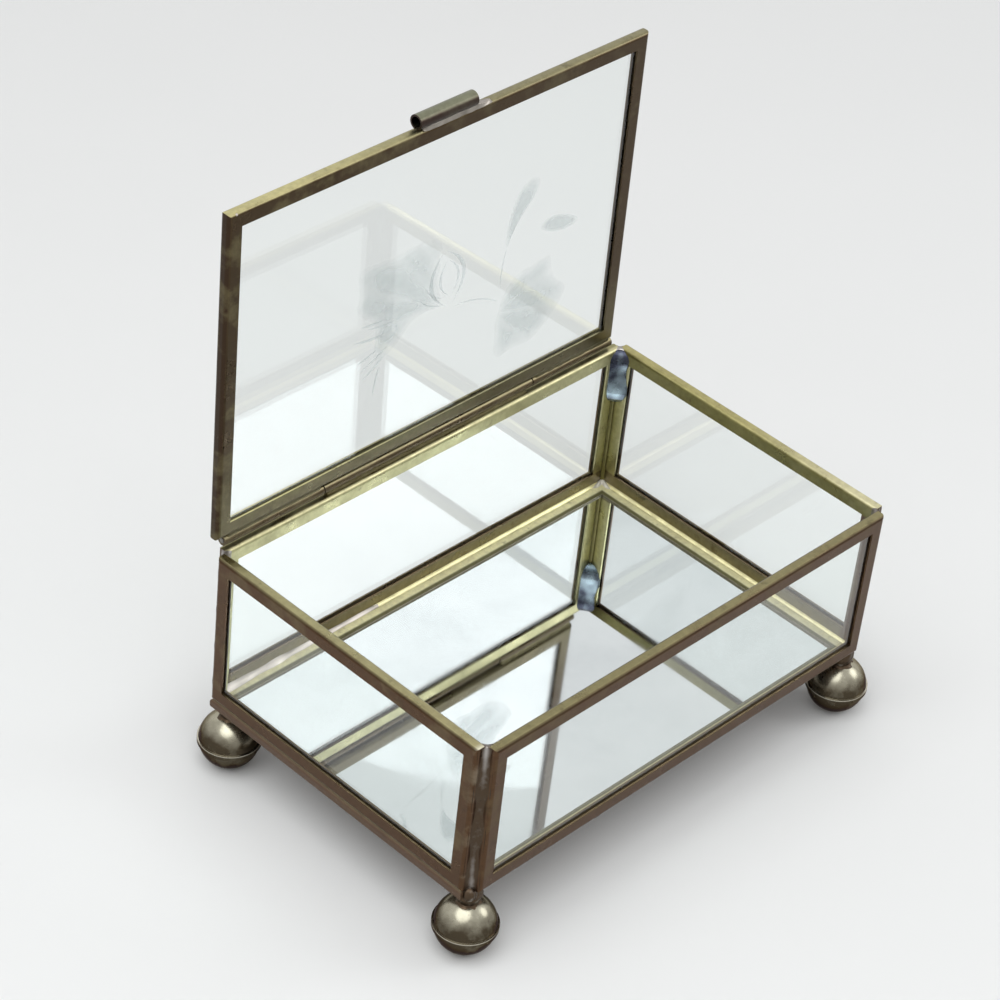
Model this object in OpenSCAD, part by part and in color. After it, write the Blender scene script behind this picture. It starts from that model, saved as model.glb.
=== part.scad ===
// Glass casket box: six glass panels, each bound in a folded brass channel,
// soldered edge to edge, on four ball feet, with a hinged lid.
// Millimetres. X runs along the long walls, Y to the back, Z up from the table.

/* [Casket] */
// Outside length of the walls, left to right
casket_length = 116.6; // [80:0.1:200]
// Outside depth of the walls, front to back
casket_depth = 76.4; // [50:0.1:140]
// Height of the walls alone
wall_height = 36; // [20:0.1:80]

/* [Glass] */
// Thickness of the five clear panes
glass_thickness = 1.6; // [1:0.1:3]
// Thickness of the mirror in the floor
mirror_thickness = 1.6; // [1:0.1:3]
// Free space between a pane's edge and the bottom of its channel
pane_edge_gap = 0.2; // [0.1:0.05:0.6]
// Clearance between a pane's face and its channel
pane_face_gap = 0.05; // [0.02:0.01:0.1]

/* [Brass channel] */
// Thickness of the brass strip
strip_thickness = 0.4; // [0.3:0.05:0.6]
// Width of a channel's side, measured in from the panel's edge
channel_flange = 3.2; // [2:0.1:6]
// Outside radius of the folds
channel_fold = 0.85; // [0.2:0.05:0.9]

/* [Lid] */
// From the casket's left face to the lid's left edge
lid_left_inset = 0.2; // [0:0.1:4]
// From the casket's right face to the lid's right edge
lid_right_inset = 5; // [0:0.1:6]
// From the casket's front face to the closed lid's front edge
lid_front_inset = 0.2; // [0:0.1:2]
// Gap left under the closed lid
lid_rest_gap = 0.15; // [0.05:0.05:0.5]
// How far the lid stands open, from closed
lid_open_angle = 90.8; // [80:0.1:110]

/* [Hinge] */
// Outside diameter of the hinge tube
knuckle_diameter = 2.3; // [1.6:0.05:4]
// Diameter of the hinge wire
pin_diameter = 1.1; // [0.8:0.05:1.2]
// Radial clearance between the wire and the tube
pin_clearance = 0.05; // [0.02:0.01:0.1]
// How far the wire stands out of each end of the tube
pin_end = 0.1; // [0:0.05:1]
// Gap between one knuckle and the next
knuckle_gap = 0.3; // [0.1:0.05:1]
// Length of the lid's left knuckle
left_knuckle_length = 26; // [10:0.1:32]
// Length of the lid's right knuckle
right_knuckle_length = 23.8; // [10:0.1:32]
// From the casket's left face to the tube's left end
hinge_left_inset = 2.8; // [1:0.1:8]
// From the casket's right face to the tube's right end
hinge_right_inset = 4.6; // [1:0.1:8]
// Height of the tube's underside over the back wall
hinge_rise = 0.5; // [0.3:0.05:1.5]
// From the back wall's outer face forward to the hinge axis
hinge_setback = 0.6; // [0:0.05:1]
// Gap between the tube and the lid's back edge
hinge_lid_gap = 0.6; // [0.3:0.05:1]

/* [Handle] */
// Length of the rolled handle
handle_length = 15.2; // [8:0.1:40]
// Outside diameter of the handle
handle_diameter = 3.2; // [3:0.1:8]
// Wall of the handle
handle_wall = 0.4; // [0.3:0.05:0.8]
// From the lid's left edge to the handle's left end
handle_left_inset = 47.5; // [2:0.5:60]
// Width of the open seam in the handle
handle_seam = 0.5; // [0.2:0.1:1]
// Solder left between the handle and the lid's front edge
handle_seat = 0.1; // [0.05:0.05:0.3]
// How far the handle's solder runs past its right end
handle_bead_tail = 3; // [1:0.1:6]

/* [Feet] */
// Diameter of a ball foot
foot_diameter = 12.6; // [8:0.1:20]
// Thickness of a foot's pressed cups
foot_wall = 0.4; // [0.3:0.05:0.8]
// From the casket's faces to a foot's centre
foot_inset = 3.2; // [2.8:0.1:6]
// How far the back left foot was set in from its corner, to the front
foot_back_left_shift = 2.2; // [0:0.1:3]
// Height of the solder neck between a foot and the floor
foot_neck_height = 1.5; // [0.5:0.1:4]
// Diameter of the solder neck at its middle
foot_neck_diameter = 4.2; // [3:0.1:6]
// How much wider the neck flares at its top and foot
foot_neck_flare = 1.4; // [0.4:0.1:2]
// Height of the rolled band round a foot's middle
foot_band_height = 1; // [0.6:0.1:2]
// How far the band stands out
foot_band_proud = 0.3; // [0.1:0.02:0.5]
// Depth of the worn flat under a foot
foot_flat = 0.15; // [0.05:0.05:0.3]

/* [Solder] */
// How far a seam stays in from the panels' outer faces
seam_recess = 0.4; // [0.2:0.05:1]
// How far the seams stand out inside the box
seam_bead = 0.3; // [0.1:0.05:0.5]
// Width of the fillets inside the box
fillet_width = 1; // [0.6:0.1:2]
// Where the back fillet starts, from the casket's left face
fillet_start = 5; // [4:0.5:20]
// Length of the back fillet
fillet_length = 41; // [10:1:50]
// Height of the tack in the back right corner
tack_height = 3; // [1:0.5:15]
// Width of the tack in the back right corner
tack_width = 2; // [1:0.1:3]
// Width of the solder under the middle hinge knuckle
hinge_bead_width = 1.1; // [0.8:0.1:2]

/* [Hidden] */
$fn = 48;

// A hair that keeps a cut from ending in the same plane as what it cuts
cut = 1;

// Channel sizes that follow from the glass and the strip
channel_t = glass_thickness + 2 * (strip_thickness + pane_face_gap);
floor_t = mirror_thickness + 2 * (strip_thickness + pane_face_gap);
fold_r = min(channel_fold, channel_t / 2 - 0.1, floor_t / 2 - 0.1);
pane_inset = strip_thickness + pane_edge_gap;

// Hinge line, from the casket's front left corner at the foot of the walls
knuckle_r = knuckle_diameter / 2;
bore_r = pin_diameter / 2 + pin_clearance;
hinge_y = casket_depth - hinge_setback;
hinge_z = wall_height + hinge_rise + knuckle_r;
hinge_left = hinge_left_inset;
hinge_right = casket_length - hinge_right_inset;

// Closed lid
lid_length = casket_length - lid_left_inset - lid_right_inset;
lid_back_y = hinge_y - knuckle_r - hinge_lid_gap;
lid_depth = lid_back_y - lid_front_inset;
lid_z = wall_height + lid_rest_gap + channel_t / 2;

// Handle, on the lid's front edge
handle_r = handle_diameter / 2;
handle_y = lid_front_inset - handle_seat - handle_r;
handle_left = lid_left_inset + handle_left_inset;

// Feet
foot_r = foot_diameter / 2;
foot_z = -floor_t - foot_neck_height - foot_r;
foot_height = -foot_z + foot_r - foot_flat;

// The part is centred between the reach of its feet, or of the open lid if that is further back
open_s = sin(lid_open_angle);
open_c = cos(lid_open_angle);
foot_reach = foot_r + foot_band_proud - foot_inset;
lid_reach = hinge_y + (lid_front_inset - hinge_y) * open_c + (lid_z + channel_t / 2 - hinge_z) * open_s;
handle_reach = hinge_y + (handle_y - hinge_y) * open_c + (lid_z - hinge_z) * open_s + handle_r;
depth_centre = (max(casket_depth + foot_reach, lid_reach, handle_reach) - max(0, foot_reach)) / 2;

// Moves a piece from the casket's front left corner to the part's own frame
module placed() {
    translate([-casket_length / 2, -depth_centre, foot_height])
        children();
}

// Swings a piece that is drawn closed to where the lid stands open
module on_lid() {
    placed()
        translate([0, hinge_y, hinge_z])
            rotate([-lid_open_angle, 0, 0])
                translate([0, -hinge_y, -hinge_z])
                    children();
}

// Section through a bound panel, with its folds rounded
module folded_section(w, t) {
    translate([fold_r - w / 2, -t / 2])
        square([w - 2 * fold_r, t]);
    translate([-w / 2, fold_r - t / 2])
        square([w, t - 2 * fold_r]);
    for (x = [-1, 1])
        for (y = [-1, 1])
            translate([x * (w / 2 - fold_r), y * (t / 2 - fold_r)])
                circle(r = fold_r);
}

// Channel folded round a panel of a by b that lies flat about the origin
module channel_frame(a, b, t) {
    window_a = a - 2 * channel_flange;
    window_b = b - 2 * channel_flange;
    groove_t = t - 2 * strip_thickness;
    difference() {
        intersection() {
            rotate([90, 0, 0])
                linear_extrude(height = b, center = true)
                    folded_section(a, t);
            rotate([90, 0, 90])
                linear_extrude(height = a, center = true)
                    folded_section(b, t);
        }
        cube([window_a, window_b, t + 2 * cut], center = true);
        cube([a - 2 * strip_thickness, b - 2 * strip_thickness, groove_t], center = true);
    }
}

// Pane that fills such a channel
module pane(a, b, t) {
    cube([a - 2 * pane_inset, b - 2 * pane_inset, t], center = true);
}

// Places of the panels
module at_front() {
    placed()
        translate([casket_length / 2, channel_t / 2, wall_height / 2])
            rotate([90, 0, 0])
                children();
}

module at_back() {
    placed()
        translate([casket_length / 2, casket_depth - channel_t / 2, wall_height / 2])
            rotate([90, 0, 0])
                children();
}

module at_left() {
    placed()
        translate([channel_t / 2, casket_depth / 2, wall_height / 2])
            rotate([90, 0, 90])
                children();
}

module at_right() {
    placed()
        translate([casket_length - channel_t / 2, casket_depth / 2, wall_height / 2])
            rotate([90, 0, 90])
                children();
}

// The floor's left edge is flush with the left wall, which stands on it
module at_floor() {
    placed()
        translate([floor_length / 2, casket_depth / 2, -floor_t / 2])
            children();
}

module at_lid() {
    on_lid()
        translate([lid_left_inset + lid_length / 2, lid_front_inset + lid_depth / 2, lid_z])
            children();
}

long_wall = casket_length - 2 * channel_t;
short_wall = casket_depth - 2 * channel_t;
floor_length = casket_length - channel_t;
floor_depth = casket_depth - 2 * channel_t;

module brass() {
    color([0.62, 0.58, 0.40])
        children();
}

module clear_glass() {
    color([0.80, 0.87, 0.86, 0.35])
        children();
}

module solder() {
    color([0.55, 0.54, 0.52])
        children();
}

// Frames and panes
module front_frame() {
    brass()
        at_front()
            channel_frame(long_wall, wall_height, channel_t);
}

module back_frame() {
    brass()
        at_back()
            channel_frame(long_wall, wall_height, channel_t);
}

module left_frame() {
    brass()
        at_left()
            channel_frame(short_wall, wall_height, channel_t);
}

module right_frame() {
    brass()
        at_right()
            channel_frame(short_wall, wall_height, channel_t);
}

module floor_frame() {
    brass()
        at_floor()
            channel_frame(floor_length, floor_depth, floor_t);
}

module lid_frame() {
    brass()
        at_lid()
            channel_frame(lid_length, lid_depth, channel_t);
}

module front_glass() {
    clear_glass()
        at_front()
            pane(long_wall, wall_height, glass_thickness);
}

module back_glass() {
    clear_glass()
        at_back()
            pane(long_wall, wall_height, glass_thickness);
}

module left_glass() {
    clear_glass()
        at_left()
            pane(short_wall, wall_height, glass_thickness);
}

module right_glass() {
    clear_glass()
        at_right()
            pane(short_wall, wall_height, glass_thickness);
}

module lid_glass() {
    clear_glass()
        at_lid()
            pane(lid_length, lid_depth, glass_thickness);
}

module floor_mirror() {
    color([0.75, 0.79, 0.80])
        at_floor()
            pane(floor_length, floor_depth, mirror_thickness);
}

// Ends of the two panels that meet round a notch. The notch's outer corner is
// at the origin: one panel starts at X = a, the other at Y = b.
module panel_ends(a, b) {
    span = 4 * (a + b);
    translate([a + span / 2, b / 2])
        folded_section(span, b);
    translate([a / 2, b + span / 2])
        rotate(90)
            folded_section(span, a);
}

module seam_outline(a, b) {
    polygon([
        [a + seam_bead, b + seam_bead],
        [a + seam_bead, b - fold_r],
        [a, seam_recess],
        [seam_recess, b],
        [a - fold_r, b + seam_bead]
    ]);
}

// Section of the solder in a notch and just through to the inside
module seam_section(a, b) {
    difference() {
        seam_outline(a, b);
        panel_ends(a, b);
    }
}

// Section of a wider fillet on the inside of such a seam
module tack_section(a, b, w) {
    difference() {
        polygon([
            [a - fold_r, b - fold_r],
            [a + w, b - fold_r],
            [a + w, b + 0.1],
            [a + 0.1, b + w],
            [a - fold_r, b + w]
        ]);
        seam_outline(a, b);
        panel_ends(a, b);
    }
}

// Stands a section's length up one corner of the walls. xs and ys are 0 or 1
// for left or right, front or back.
module up_corner(xs, ys) {
    placed()
        translate([xs * casket_length, ys * casket_depth, 0])
            mirror([xs, 0, 0])
                mirror([0, ys, 0])
                    children();
}

module corner_seam_front_left() {
    solder()
        up_corner(0, 0)
            linear_extrude(height = wall_height)
                seam_section(channel_t, channel_t);
}

module corner_seam_front_right() {
    solder()
        up_corner(1, 0)
            linear_extrude(height = wall_height)
                seam_section(channel_t, channel_t);
}

module corner_seam_back_left() {
    solder()
        up_corner(0, 1)
            linear_extrude(height = wall_height)
                seam_section(channel_t, channel_t);
}

module corner_seam_back_right() {
    solder()
        up_corner(1, 1)
            linear_extrude(height = wall_height)
                seam_section(channel_t, channel_t);
}

// Where the seams under the walls end, clear of the corner seams
seam_end = channel_t + seam_bead + 0.05;
long_seam = casket_length - 2 * seam_end;
short_seam = casket_depth - 2 * seam_end;

// Lays a section along the foot of the front wall, from the left
module along_front(x) {
    placed()
        translate([x, 0, -floor_t])
            rotate([90, 0, 90])
                children();
}

// The same along the foot of the back wall
module along_back(x) {
    placed()
        translate([x, casket_depth, -floor_t])
            mirror([0, 1, 0])
                rotate([90, 0, 90])
                    children();
}

module floor_seam_front() {
    solder()
        along_front(seam_end)
            linear_extrude(height = long_seam)
                seam_section(channel_t, floor_t);
}

module floor_seam_back() {
    solder()
        along_back(seam_end)
            linear_extrude(height = long_seam)
                seam_section(channel_t, floor_t);
}

module floor_seam_right() {
    solder()
        placed()
            translate([casket_length, casket_depth - seam_end, -floor_t])
                mirror([1, 0, 0])
                    rotate([90, 0, 0])
                        linear_extrude(height = short_seam)
                            seam_section(channel_t, floor_t);
}

// Fillet inside, where the left wall stands on the floor
module floor_fillet_left() {
    solder()
        placed()
            translate([0, casket_depth - seam_end, 0])
                rotate([90, 0, 0])
                    linear_extrude(height = short_seam)
                        difference() {
                            polygon([
                                [channel_t - fold_r / 2, 0],
                                [channel_t + fillet_width, 0],
                                [channel_t, fillet_width],
                                [channel_t - fold_r / 2, fillet_width]
                            ]);
                            translate([channel_t / 2, wall_height / 2])
                                folded_section(channel_t, wall_height);
                        }
}

// Fillet inside, along part of the back wall's foot
module floor_fillet_back() {
    solder()
        along_back(fillet_start)
            linear_extrude(height = fillet_length)
                tack_section(channel_t, floor_t, fillet_width);
}

// Lump of solder in the back right corner, on the corner seam
module floor_tack_back_right() {
    solder()
        up_corner(1, 1)
            translate([0, 0, seam_bead + 0.05])
                linear_extrude(height = tack_height)
                    tack_section(channel_t, channel_t, tack_width);
}

// Feet
module at_foot(xs, ys) {
    x = xs == 0 ? foot_inset : casket_length - foot_inset;
    y = ys == 0 ? foot_inset : casket_depth - foot_inset - (xs == 0 ? foot_back_left_shift : 0);
    placed()
        translate([x, y, foot_z])
            children();
}

module upper_cup(xs, ys) {
    brass()
        at_foot(xs, ys)
            difference() {
                sphere(r = foot_r);
                sphere(r = foot_r - foot_wall);
                translate([-foot_r - cut, -foot_r - cut, -2 * foot_r])
                    cube([2 * (foot_r + cut), 2 * (foot_r + cut), 2 * foot_r + 0.02]);
            }
}

module lower_cup(xs, ys) {
    brass()
        at_foot(xs, ys)
            difference() {
                union() {
                    difference() {
                        sphere(r = foot_r);
                        translate([-foot_r - cut, -foot_r - cut, 0])
                            cube([2 * (foot_r + cut), 2 * (foot_r + cut), 2 * foot_r]);
                    }
                    translate([0, 0, -foot_band_height / 2])
                        cylinder(r = foot_r + foot_band_proud, h = foot_band_height);
                }
                sphere(r = foot_r - foot_wall);
                cylinder(r = foot_r + 0.02, h = foot_band_height);
                translate([-foot_r, -foot_r, -2 * foot_r])
                    cube([2 * foot_r, 2 * foot_r, foot_r + foot_flat]);
            }
}

module neck(xs, ys) {
    waist = foot_neck_diameter / 2;
    rise = foot_neck_height / 2;
    solder()
        at_foot(xs, ys)
            difference() {
                union() {
                    translate([0, 0, foot_r + rise])
                        cylinder(r1 = waist, r2 = waist + foot_neck_flare / 2, h = rise);
                    translate([0, 0, foot_r - rise])
                        cylinder(r1 = waist + foot_neck_flare, r2 = waist, h = 2 * rise);
                }
                sphere(r = foot_r);
            }
}

module foot_cup_upper_front_left() {
    upper_cup(0, 0);
}

module foot_cup_upper_front_right() {
    upper_cup(1, 0);
}

module foot_cup_upper_back_left() {
    upper_cup(0, 1);
}

module foot_cup_upper_back_right() {
    upper_cup(1, 1);
}

module foot_cup_lower_front_left() {
    lower_cup(0, 0);
}

module foot_cup_lower_front_right() {
    lower_cup(1, 0);
}

module foot_cup_lower_back_left() {
    lower_cup(0, 1);
}

module foot_cup_lower_back_right() {
    lower_cup(1, 1);
}

module foot_neck_front_left() {
    neck(0, 0);
}

module foot_neck_front_right() {
    neck(1, 0);
}

module foot_neck_back_left() {
    neck(0, 1);
}

module foot_neck_back_right() {
    neck(1, 1);
}

// Hinge: a length of tube about the hinge line, from x0 to x1
module tube(x0, x1, outer, inner) {
    translate([x0, hinge_y, hinge_z])
        rotate([0, 90, 0])
            difference() {
                cylinder(r = outer, h = x1 - x0);
                translate([0, 0, -cut])
                    cylinder(r = inner, h = x1 - x0 + 2 * cut);
            }
}

middle_left = hinge_left + left_knuckle_length + knuckle_gap;
middle_right = hinge_right - right_knuckle_length - knuckle_gap;

module hinge_knuckle_middle() {
    brass()
        placed()
            tube(middle_left, middle_right, knuckle_r, bore_r);
}

module hinge_knuckle_left() {
    brass()
        on_lid()
            tube(hinge_left, hinge_left + left_knuckle_length, knuckle_r, bore_r);
}

module hinge_knuckle_right() {
    brass()
        on_lid()
            tube(hinge_right - right_knuckle_length, hinge_right, knuckle_r, bore_r);
}

module hinge_pin() {
    color([0.50, 0.49, 0.46])
        placed()
            translate([hinge_left - pin_end, hinge_y, hinge_z])
                rotate([0, 90, 0])
                    cylinder(d = pin_diameter, h = hinge_right - hinge_left + 2 * pin_end);
}

// Solder under the middle knuckle, on the back wall's top
module hinge_bead_middle() {
    solder()
        placed()
            difference() {
                translate([middle_left + 1, hinge_y - hinge_bead_width / 2, wall_height - fold_r])
                    cube([
                        middle_right - middle_left - 2,
                        hinge_bead_width,
                        fold_r + hinge_rise + knuckle_r / 2
                    ]);
                translate([middle_left, hinge_y, hinge_z])
                    rotate([0, 90, 0])
                        cylinder(r = knuckle_r, h = middle_right - middle_left);
                translate([middle_left, casket_depth - channel_t / 2, wall_height / 2])
                    rotate([90, 0, 90])
                        linear_extrude(height = middle_right - middle_left)
                            folded_section(channel_t, wall_height);
            }
}

// Flat left between the folds of the lid's edge
lid_edge_flat = channel_t - 2 * fold_r;

// Solder between a lid knuckle and the lid's back edge
module lid_bead(x0, x1) {
    solder()
        on_lid()
            difference() {
                translate([x0, lid_back_y, lid_z - lid_edge_flat / 2])
                    cube([x1 - x0, hinge_lid_gap + knuckle_r / 2, lid_edge_flat]);
                translate([x0 - cut, hinge_y, hinge_z])
                    rotate([0, 90, 0])
                        cylinder(r = knuckle_r, h = x1 - x0 + 2 * cut);
            }
}

module hinge_bead_left() {
    lid_bead(hinge_left + 0.6, hinge_left + left_knuckle_length - 0.6);
}

module hinge_bead_right() {
    lid_bead(hinge_right - right_knuckle_length + 0.6, hinge_right - 0.8);
}

// Handle
module handle_tube() {
    brass()
        on_lid()
            translate([handle_left, handle_y, lid_z])
                rotate([0, 90, 0])
                    difference() {
                        cylinder(r = handle_r, h = handle_length);
                        translate([0, 0, -cut])
                            cylinder(r = handle_r - handle_wall, h = handle_length + 2 * cut);
                        rotate([0, 0, 90])
                            translate([0, -handle_seam / 2, -cut])
                                cube([2 * handle_r, handle_seam, handle_length + 2 * cut]);
                    }
}

// Solder on the underside of the joint between the handle and the lid
module handle_bead() {
    bead_foot = lid_z - channel_t / 2 + 0.05;
    bead_length = handle_length - 1 + handle_bead_tail;
    solder()
        on_lid()
            difference() {
                translate([handle_left + 1, handle_y + 0.4 * handle_r, bead_foot])
                    cube([bead_length, 0.6 * handle_r + handle_seat + fold_r, channel_t - fold_r]);
                translate([handle_left, handle_y, lid_z])
                    rotate([0, 90, 0])
                        cylinder(r = handle_r, h = handle_length + handle_bead_tail + cut);
                translate([handle_left, lid_front_inset + lid_depth / 2, lid_z])
                    rotate([90, 0, 90])
                        linear_extrude(height = bead_length + 2)
                            folded_section(lid_depth, channel_t);
            }
}

front_frame();
back_frame();
left_frame();
right_frame();
floor_frame();
front_glass();
back_glass();
left_glass();
right_glass();
floor_mirror();
corner_seam_front_left();
corner_seam_front_right();
corner_seam_back_left();
corner_seam_back_right();
floor_seam_front();
floor_seam_back();
floor_seam_right();
floor_fillet_left();
floor_fillet_back();
floor_tack_back_right();
foot_cup_upper_front_left();
foot_cup_upper_front_right();
foot_cup_upper_back_left();
foot_cup_upper_back_right();
foot_cup_lower_front_left();
foot_cup_lower_front_right();
foot_cup_lower_back_left();
foot_cup_lower_back_right();
foot_neck_front_left();
foot_neck_front_right();
foot_neck_back_left();
foot_neck_back_right();
hinge_knuckle_middle();
hinge_pin();
hinge_bead_middle();
lid_frame();
lid_glass();
hinge_knuckle_left();
hinge_knuckle_right();
hinge_bead_left();
hinge_bead_right();
handle_tube();
handle_bead();
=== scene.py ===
"""Looks for the glass casket box: aged brass channel, hand-run solder, clear glass with a
wheel-cut spray in the lid, a silvered floor, and a plain stage with soft light.

Lengths in the shape functions are millimetres, measured from the casket's front left corner
at the foot of its walls: X along the front wall, Y to the back, Z up. place() moves them to
the part's own frame in metres, and swing() first opens the lid.
"""

import math

import bpy
import numpy as np
from bpy.props import FloatProperty, FloatVectorProperty, IntProperty, PointerProperty
from mathutils import Matrix, Vector


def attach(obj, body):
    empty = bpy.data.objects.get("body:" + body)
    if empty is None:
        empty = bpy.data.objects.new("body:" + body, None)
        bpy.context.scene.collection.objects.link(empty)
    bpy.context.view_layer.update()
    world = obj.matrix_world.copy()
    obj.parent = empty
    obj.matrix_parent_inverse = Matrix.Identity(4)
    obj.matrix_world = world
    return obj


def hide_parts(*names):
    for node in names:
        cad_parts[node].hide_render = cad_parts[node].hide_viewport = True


bl_info = {
    "name": "Glass casket box",
    "version": (1, 0, 0),
    "blender": (4, 5, 0),
    "location": "View3D > Sidebar > Casket",
    "description": "Dresses the packed casket box with brass, solder, glass and a plain stage",
    "category": "Object",
}

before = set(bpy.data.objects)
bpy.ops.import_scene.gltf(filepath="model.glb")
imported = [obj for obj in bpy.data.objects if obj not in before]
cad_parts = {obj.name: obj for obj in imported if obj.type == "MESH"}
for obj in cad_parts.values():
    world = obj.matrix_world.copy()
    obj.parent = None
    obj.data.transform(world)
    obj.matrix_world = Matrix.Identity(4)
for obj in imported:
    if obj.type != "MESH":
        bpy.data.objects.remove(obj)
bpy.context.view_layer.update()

# Sizes repeated from the part's source, in millimetres
CASKET = np.array([116.6, 76.4, 36.0])
PANEL = 2.5
FLOOR = 2.5
RECESS = 0.4
HINGE_Y = 75.8
HINGE_Z = 37.65
KNUCKLE_R = 1.15
MIDDLE_KNUCKLE = (29.1, 87.9)
LEFT_KNUCKLE = (2.8, 28.8)
RIGHT_KNUCKLE = (88.2, 112.0)
LID_X = (0.2, 111.6)
LID_Y = (0.2, 74.05)
LID_Z = 37.4
LID_OPEN = math.radians(90.8)
HANDLE_X = (47.7, 62.9)
HANDLE_Y = -1.5
FOOT_INSET = 3.2
FOOT_Z = -10.3
BACK_LEFT_FOOT_SHIFT = 2.2
STAND = 16.45
GLASS = 1.6

# Sine waves in one ripple, and points across a seam's outer face and across an inner face
RIPPLE_WAVES = 8
OUTER_POINTS = 14
INNER_POINTS = 12
# How far a seam's outer face bows in, and how far solder runs inside a hinge tube's skin
SEAM_HOLLOW = 0.7
HINGE_GRIP = 0.08
# The cuts start a little inside the lid's glass, so that their faces and the pane's never meet
CUT_START = LID_Z + GLASS / 2 - 0.004

CORNERS = {
    "front_left": (0, 0),
    "front_right": (1, 0),
    "back_left": (0, 1),
    "back_right": (1, 1),
}


# Places


def place(points):
    """Moves points from the casket's corner to the part's frame, and turns them to metres."""
    shift = np.array([-CASKET[0] / 2, -CASKET[1] / 2, STAND])
    return (np.asarray(points, float) + shift) * 0.001


def swing(points):
    """Turns points about the hinge line by the lid's open angle, from closed to open."""
    p = np.array(points, float)
    y = p[..., 1] - HINGE_Y
    z = p[..., 2] - HINGE_Z
    c = math.cos(LID_OPEN)
    s = math.sin(LID_OPEN)
    p[..., 1] = HINGE_Y + y * c + z * s
    p[..., 2] = HINGE_Z - y * s + z * c
    return p


def ripple(seed, coords, size):
    """Smooth unevenness, about -1 to 1: a sum of sine waves of mixed length about size,
    each along its own random direction through the given coordinates."""
    rng = np.random.default_rng(seed)
    total = 0
    for _ in range(RIPPLE_WAVES):
        wave = size * rng.uniform(0.45, 1.7)
        way = rng.normal(size=len(coords))
        way /= np.linalg.norm(way)
        phase = rng.uniform(0, 2 * math.pi)
        total = total + np.sin(2 * math.pi * sum(c * w for c, w in zip(coords, way)) / wave + phase)
    return total / math.sqrt(RIPPLE_WAVES) * 0.8


def rounded_ends(s, length, reach):
    """1 along a run and down to 0 at its two ends, as a quarter circle of the given reach."""
    d = np.clip(np.minimum(s, length - s) / reach, 0, 1)
    return np.sqrt(np.clip(1 - (1 - d) ** 2, 0, 1))


def close_ended(length, count, reach):
    """Stations along a run: even in between, and closer together within reach of its two
    rounded ends, where they follow 1 less a cosine."""
    ends = reach * (1 - np.cos(np.linspace(0, math.pi / 2, 5)))
    middle = np.linspace(reach, length - reach, count)[1:-1]
    return np.concatenate([ends, middle, length - ends[::-1]])


# Meshes


def new_mesh(name, verts, faces, smooth=True):
    """A new object at the origin from points and faces in the part's frame, in metres."""
    mesh = bpy.data.meshes.new(name)
    mesh.from_pydata(verts, [], faces)
    mesh.polygons.foreach_set("use_smooth", np.full(len(mesh.polygons), smooth))
    mesh.update()
    piece = bpy.data.objects.new(name, mesh)
    bpy.context.scene.collection.objects.link(piece)
    return piece


def skin(rings, first=0):
    """Faces of a closed skin over rings of points, an array of rows by columns by 3: quads
    between neighbours, round each ring, and one face on each end ring."""
    rows, cols = rings.shape[:2]
    i, j = np.meshgrid(np.arange(rows - 1), np.arange(cols), indexing="ij")
    k = (j + 1) % cols
    quads = np.stack([i * cols + j, i * cols + k, (i + 1) * cols + k, (i + 1) * cols + j], -1)
    a, b, c, d = (rings.reshape(-1, 3)[quads[..., n].ravel()] for n in range(4))
    middle = rings.mean((0, 1))
    volume = np.einsum("ij,ij->", a - middle, np.cross(b - middle, c - middle))
    volume += np.einsum("ij,ij->", a - middle, np.cross(c - middle, d - middle))
    faces = (quads.reshape(-1, 4) + first).tolist()
    caps = [list(range(cols))[::-1], list(range((rows - 1) * cols, rows * cols))]
    faces += [[n + first for n in cap] for cap in caps]
    if volume < 0:
        faces = [face[::-1] for face in faces]
    return faces


def solid(name, parts):
    """One object from several closed skins, each an array of rings in millimetres."""
    verts = []
    faces = []
    first = 0
    for rings in parts:
        faces += skin(rings, first)
        verts.append(rings.reshape(-1, 3))
        first += rings.shape[0] * rings.shape[1]
    return new_mesh(name, place(np.concatenate(verts)), faces)


def point_value(piece, name, values):
    """Keeps a number at each point of a piece, for its material to read."""
    layer = piece.data.attributes.new(name, "FLOAT", "POINT")
    layer.data.foreach_set("value", np.asarray(values, np.float32).ravel())


def along(start, way, s, a_way, b_way, section):
    """Carries a section along a line: start + s way + a a_way + b b_way, for each station s
    and each of its section's points (a, b)."""
    start, way, a_way, b_way = (np.asarray(v, float) for v in (start, way, a_way, b_way))
    line = start + s[:, None] * way
    return line[:, None, :] + section[..., 0:1] * a_way + section[..., 1:2] * b_way


def arc_between(p, q, sag, count):
    """Points from p to q, bowed as a parabola whose middle stands sag to the left of the way
    from p to q. p and q are arrays of stations by 2, and sag is one number a station."""
    t = np.linspace(0, 1, count)[None, :, None]
    way = q - p
    left = np.stack([-way[:, 1], way[:, 0]], -1)
    left /= np.maximum(np.linalg.norm(left, axis=1, keepdims=True), 1e-9)
    bow = (4 * t * (1 - t)) * sag[:, None, None]
    return p[:, None, :] + way[:, None, :] * t + left[:, None, :] * bow


# Colours and nodes


def rgb(red, green, blue):
    """A screen colour from its usual numbers, 0 to 255, as parts of one."""
    return (red / 255, green / 255, blue / 255)


def linear(color):
    """A screen colour as Blender's linear numbers, with its alpha."""
    c = np.asarray(color, float)
    return tuple(np.where(c <= 0.04045, c / 12.92, ((c + 0.055) / 1.055) ** 2.4)) + (1.0,)


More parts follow.
